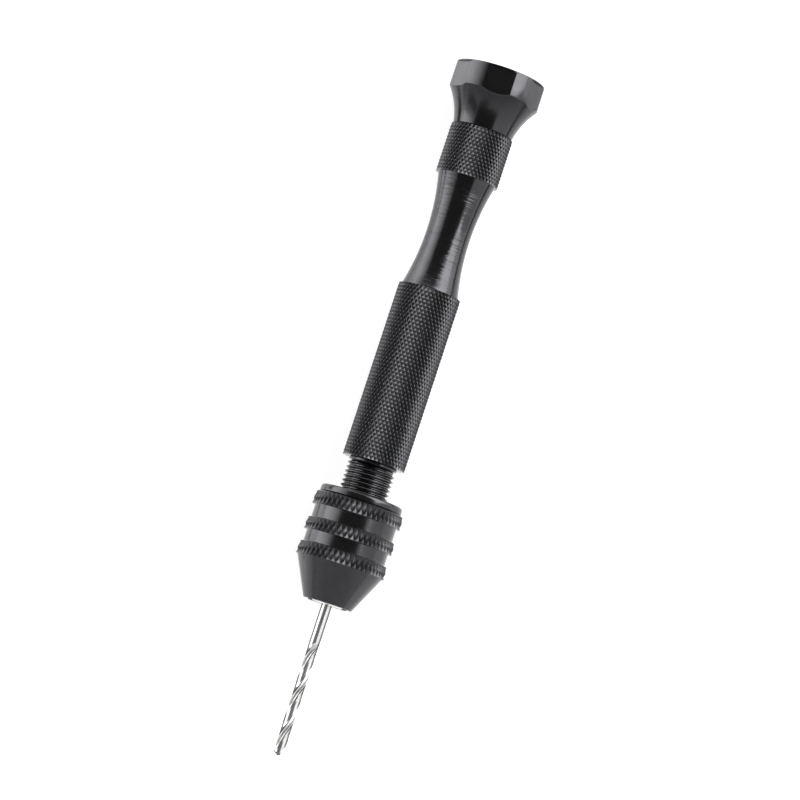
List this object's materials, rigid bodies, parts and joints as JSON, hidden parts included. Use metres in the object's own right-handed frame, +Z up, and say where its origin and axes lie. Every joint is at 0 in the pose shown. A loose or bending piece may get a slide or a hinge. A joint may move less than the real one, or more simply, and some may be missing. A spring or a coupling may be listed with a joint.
{
  "type": "pin vise drill",
  "caption": "Hand-held pin vise drill: a waisted, knurled handle with a swivelling faceted palm cap on a ball bearing, and a threaded keyless chuck that holds a small twist drill.",
  "frame": {"origin": "centre of the bounding box in plan, at the surface that the tool lies on", "axes": "+X along the tool from the bit to the palm cap, +Z up from the surface, +Y to the tool's left when it is seen from above with the cap away"},
  "size_m": [0.1152, 0.0148, 0.0149],
  "materials": {
    "black_anodised": "black anodised aluminium, satin, with fine turning marks and cut knurls",
    "black_oxide_steel": "black oxide steel, satin, with cut knurls and thread",
    "bright_steel": "bright ground steel",
    "bearing_steel": "polished bearing steel",
    "brass": "plain turned brass",
    "spring_steel": "drawn spring wire"
  },
  "bodies": {
    "handle": {"handle": "black_anodised", "chuck_stud": "black_oxide_steel", "axle_screw": "bright_steel", "axle_spacer_bush": "brass", "bearing_inner_ring": "bearing_steel"},
    "palm_cap": {"palm_cap": "black_anodised", "cap_end_plug": "black_anodised", "bearing_outer_ring": "bearing_steel", "bearing_shield_outer": "bearing_steel", "bearing_shield_inner": "bearing_steel"},
    "ball_cage": {"bearing_cage": "brass", "bearing_ball_1": "bearing_steel", "bearing_ball_2": "bearing_steel", "bearing_ball_3": "bearing_steel", "bearing_ball_4": "bearing_steel", "bearing_ball_5": "bearing_steel", "bearing_ball_6": "bearing_steel", "bearing_ball_7": "bearing_steel"},
    "chuck_carrier": {"jaw_thrust_washer": "bearing_steel"},
    "chuck": {"chuck_body": "black_oxide_steel", "jaw_spring_1": "spring_steel", "jaw_spring_2": "spring_steel", "jaw_spring_3": "spring_steel"},
    "sleeve_carrier": {"sleeve_snap_ring": "spring_steel"},
    "sleeve": {"chuck_sleeve": "black_oxide_steel"},
    "jaw_1": {"jaw_1": "bright_steel"},
    "jaw_2": {"jaw_2": "bright_steel"},
    "jaw_3": {"jaw_3": "bright_steel"},
    "drill_bit": {"drill_bit": "bright_steel"}
  },
  "joints": [
    {"name": "cap_swivel", "type": "hinge", "parent": "handle", "child": "palm_cap", "pos_m": [0.0576, 0, 0.00743], "axis": [1, 0, 0], "continuous": true},
    {"name": "cage_roll", "type": "hinge", "parent": "handle", "child": "ball_cage", "pos_m": [0.0576, 0, 0.00743], "axis": [1, 0, 0], "continuous": true},
    {"name": "chuck_travel", "type": "slide", "parent": "handle", "child": "chuck_carrier", "axis": [-1, 0, 0], "range_m": [-0.00451, 0.00376]},
    {"name": "chuck_turn", "type": "hinge", "parent": "chuck_carrier", "child": "chuck", "pos_m": [0.0576, 0, 0.00743], "axis": [-1, 0, 0], "range_deg": [-2160, 1800]},
    {"name": "sleeve_travel", "type": "slide", "parent": "chuck", "child": "sleeve_carrier", "axis": [-1, 0, 0], "range_m": [0, 0.00231]},
    {"name": "sleeve_turn", "type": "hinge", "parent": "sleeve_carrier", "child": "sleeve", "pos_m": [0.0576, 0, 0.00743], "axis": [-1, 0, 0], "range_deg": [0, 828]},
    {"name": "jaw_1_slide", "type": "slide", "parent": "chuck", "child": "jaw_1", "axis": [0, 0, 1], "range_m": [0, 0.00084], "deforming": ["jaw_spring_1"]},
    {"name": "jaw_2_slide", "type": "slide", "parent": "chuck", "child": "jaw_2", "axis": [0, -0.866, -0.5], "range_m": [0, 0.00084], "deforming": ["jaw_spring_2"]},
    {"name": "jaw_3_slide", "type": "slide", "parent": "chuck", "child": "jaw_3", "axis": [0, 0.866, -0.5], "range_m": [0, 0.00084], "deforming": ["jaw_spring_3"]},
    {"name": "bit_slide", "type": "slide", "parent": "chuck", "child": "drill_bit", "axis": [-1, 0, 0], "range_m": [-0.006, 0.018]}
  ],
  "couplings": [
    {"joint": "cage_roll", "follows": "cap_swivel", "ratio": 0.6231},
    {"joint": "chuck_travel", "follows": "chuck_turn", "m_per_rad": 0.00011937},
    {"joint": "sleeve_travel", "follows": "sleeve_turn", "m_per_rad": 0.00015915},
    {"joint": "jaw_1_slide", "follows": "sleeve_turn", "m_per_rad": 0.000057928},
    {"joint": "jaw_2_slide", "follows": "sleeve_turn", "m_per_rad": 0.000057928},
    {"joint": "jaw_3_slide", "follows": "sleeve_turn", "m_per_rad": 0.000057928}
  ]
}
